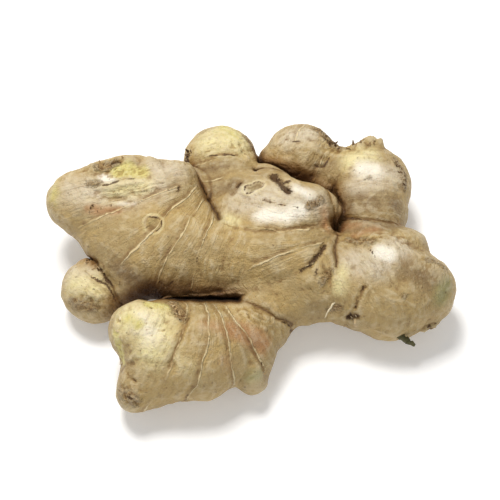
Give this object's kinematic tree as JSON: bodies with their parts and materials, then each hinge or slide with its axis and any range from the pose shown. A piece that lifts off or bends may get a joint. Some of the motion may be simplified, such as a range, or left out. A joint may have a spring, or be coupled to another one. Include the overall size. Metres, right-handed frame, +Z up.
{
  "type": "ginger root",
  "caption": "Fresh hand of ginger: a knobbly branching rhizome of fat knuckles with ringed tan skin, lying on its broad side.",
  "frame": {"origin": "under the middle of the hand's box, on the surface that it lies on", "axes": "+X along the hand towards its thick right finger, +Y across it towards its two back knobs, +Z up"},
  "size_m": [0.151, 0.1154, 0.0427],
  "materials": {
    "skin": "matte dry papery skin, pale tan with darker growth rings and corky scars"
  },
  "bodies": {
    "root": {"ginger_root": "skin"}
  },
  "joints": []
}
